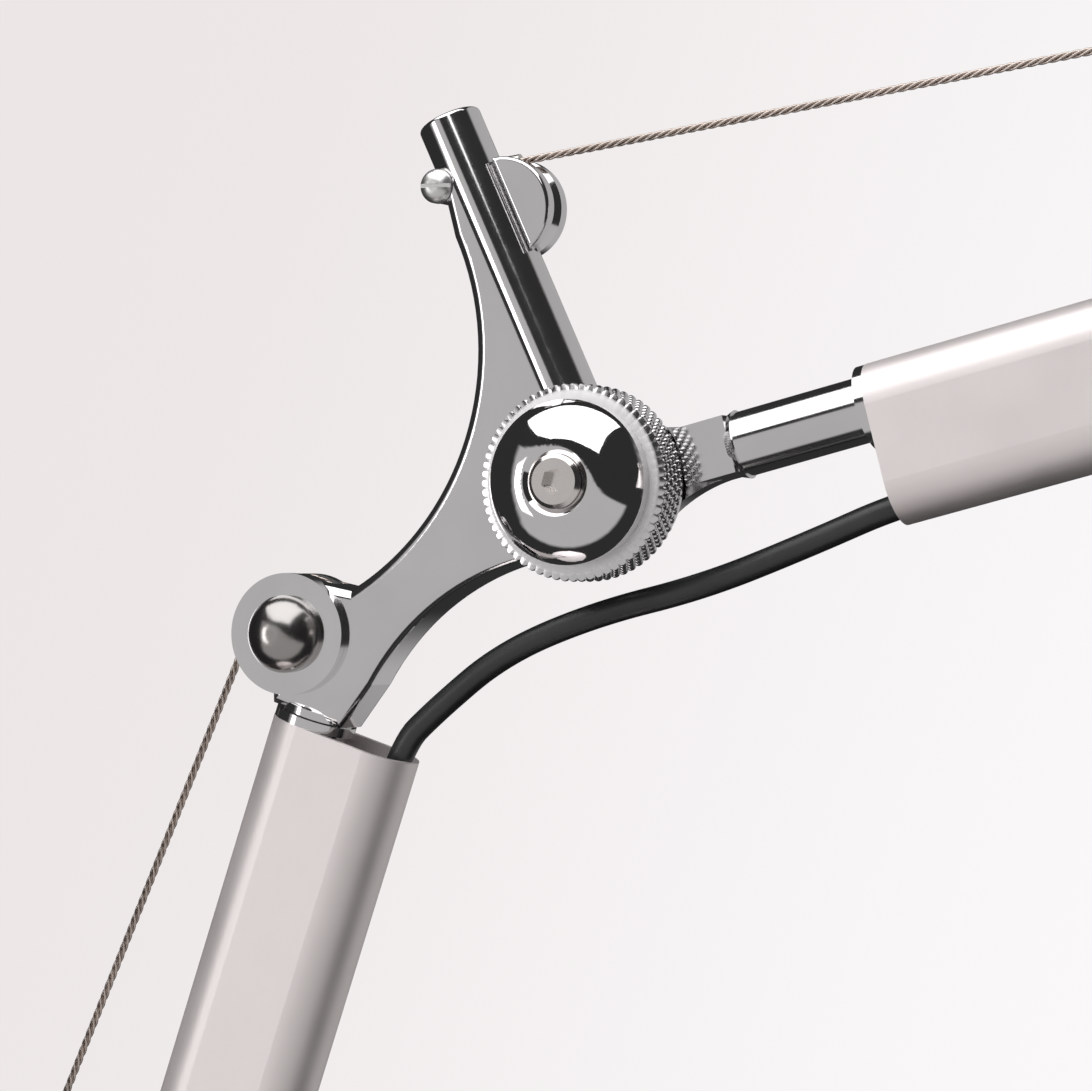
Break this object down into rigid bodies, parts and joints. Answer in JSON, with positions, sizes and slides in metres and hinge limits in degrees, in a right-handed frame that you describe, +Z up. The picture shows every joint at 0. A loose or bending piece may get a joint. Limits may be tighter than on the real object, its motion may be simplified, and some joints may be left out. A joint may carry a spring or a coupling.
{
  "type": "desk lamp",
  "caption": "Spring-balanced desk lamp with two flat-oval arms, rope pulleys, knurled friction knobs, a cone shade and a weighted round base.",
  "frame": {"origin": "centre of the round base on its underside, where the pad meets the desk", "axes": "+Z up, +X the way the arms reach, the clamping knobs on the -Y side"},
  "size_m": [0.6794, 0.2, 0.5235],
  "materials": {
    "satin_aluminium": "satin anodised",
    "satin_aluminium_base": "satin anodised",
    "shade_aluminium": "satin anodised",
    "ballast_iron": "as cast, painted",
    "base_rubber": "ribbed, matte",
    "bush_brass": "turned",
    "polished_chrome": "polished",
    "knurled_chrome": "knurled",
    "satin_chrome": "satin, linear brushed",
    "dome_steel": "satin",
    "zinc_screw": "zinc plated",
    "ferrule_tin": "crimped",
    "nylon_washer": "natural nylon",
    "spring_steel": "drawn wire",
    "steel_rope": "stranded",
    "black_lead": "semi-matte sheath",
    "black_grommet": "matte",
    "pulley_nylon": "moulded nylon",
    "holder_plastic": "moulded",
    "bulb_cap": "rolled thread",
    "opal_glass": "opal",
    "switch_plastic": "moulded"
  },
  "bodies": {
    "base": {"base_cover": "satin_aluminium_base", "ballast_disc": "ballast_iron", "base_pad": "base_rubber", "ballast_screws": "zinc_screw", "swivel_bush": "bush_brass"},
    "turret": {"turret": "polished_chrome", "rope_lever": "polished_chrome", "lever_screw": "zinc_screw", "swivel_clip": "zinc_screw"},
    "base_knob": {"base_knob_ring": "knurled_chrome", "base_knob_dome": "polished_chrome", "base_bolt": "zinc_screw"},
    "lower_arm": {"lower_stem": "satin_chrome", "base_washer": "nylon_washer", "base_nut": "zinc_screw", "lower_foot_plug": "polished_chrome", "lead_grommet": "black_grommet", "lower_tube": "satin_aluminium", "lower_top_plug": "polished_chrome", "lower_spring": "spring_steel", "lower_lead": "black_lead", "lower_rope": "steel_rope", "elbow_bracket": "polished_chrome", "rope_saddle": "polished_chrome", "rope_ferrule": "ferrule_tin", "rope_clamp_screw": "zinc_screw", "pulley_cover": "polished_chrome", "pulley_axle": "dome_steel"},
    "elbow_pulley": {"elbow_pulley": "pulley_nylon"},
    "elbow_knob": {"elbow_knob_ring": "knurled_chrome", "elbow_knob_dome": "polished_chrome", "elbow_bolt": "zinc_screw"},
    "upper_arm": {"upper_stem": "satin_chrome", "elbow_washer": "nylon_washer", "elbow_nut": "zinc_screw", "upper_stem_plug": "polished_chrome", "upper_tube": "satin_aluminium", "upper_tip_plug": "polished_chrome", "tip_bracket": "polished_chrome", "tip_axle": "zinc_screw", "upper_spring": "spring_steel", "upper_lead": "black_lead", "upper_rope": "steel_rope", "elbow_lead": "black_lead", "head_lead": "black_lead"},
    "tip_pulley": {"tip_pulley": "pulley_nylon"},
    "head_link": {"head_link": "satin_chrome", "head_washer": "nylon_washer", "head_nut": "zinc_screw"},
    "head_knob": {"head_knob": "polished_chrome", "head_bolt": "zinc_screw"},
    "shade": {"shade": "shade_aluminium", "shade_collar": "polished_chrome", "shade_cap": "shade_aluminium", "lamp_holder": "holder_plastic", "holder_ring": "zinc_screw", "bulb_base": "bulb_cap", "bulb_globe": "opal_glass"},
    "switch": {"switch_button": "switch_plastic"}
  },
  "joints": [
    {"name": "base_swivel", "type": "hinge", "parent": "base", "child": "turret", "pos_m": [-0.03, 0, 0.016], "axis": [0, 0, 1], "range_deg": [-170, 170]},
    {"name": "base_tilt", "type": "hinge", "parent": "turret", "child": "lower_arm", "pos_m": [-0.03, 0, 0.066], "axis": [0, 1, 0], "range_deg": [-35, 35], "deforming": ["lower_rope"]},
    {"name": "base_knob_turn", "type": "hinge", "parent": "turret", "child": "base_knob", "pos_m": [-0.03, 0, 0.066], "axis": [0, 1, 0], "range_deg": [-90, 90]},
    {"name": "elbow", "type": "hinge", "parent": "lower_arm", "child": "upper_arm", "pos_m": [0.1115, 0, 0.40144], "axis": [0, -1, 0], "range_deg": [-60, 50], "deforming": ["upper_rope", "elbow_lead"]},
    {"name": "elbow_knob_turn", "type": "hinge", "parent": "lower_arm", "child": "elbow_knob", "pos_m": [0.1115, 0, 0.40144], "axis": [0, 1, 0], "range_deg": [-90, 90]},
    {"name": "elbow_pulley_spin", "type": "hinge", "parent": "lower_arm", "child": "elbow_pulley", "pos_m": [0.07072, 0, 0.38292], "axis": [0, 1, 0], "range_deg": [-217, 217]},
    {"name": "tip_pulley_spin", "type": "hinge", "parent": "upper_arm", "child": "tip_pulley", "pos_m": [0.42166, 0, 0.48262], "axis": [0, -1, 0], "range_deg": [-623, 623]},
    {"name": "head_tilt", "type": "hinge", "parent": "upper_arm", "child": "head_link", "pos_m": [0.44566, 0, 0.48723], "axis": [0, 1, 0], "range_deg": [-90, 45], "deforming": ["head_lead"]},
    {"name": "head_knob_turn", "type": "hinge", "parent": "upper_arm", "child": "head_knob", "pos_m": [0.44566, 0, 0.48723], "axis": [0, 1, 0], "range_deg": [-90, 90]},
    {"name": "shade_turn", "type": "hinge", "parent": "head_link", "child": "shade", "pos_m": [0.47438, 0, 0.49127], "axis": [0.9903, 0, 0.1392], "range_deg": [-90, 90]},
    {"name": "switch_press", "type": "slide", "parent": "shade", "child": "switch", "axis": [0.1392, 0, -0.9903], "range_m": [0, 0.0018], "stiffness_N_per_m": 300, "springref_m": -0.001}
  ],
  "couplings": [
    {"joint": "elbow_pulley_spin", "follows": "base_tilt", "ratio": -6.075},
    {"joint": "tip_pulley_spin", "follows": "elbow", "ratio": -10.307}
  ]
}
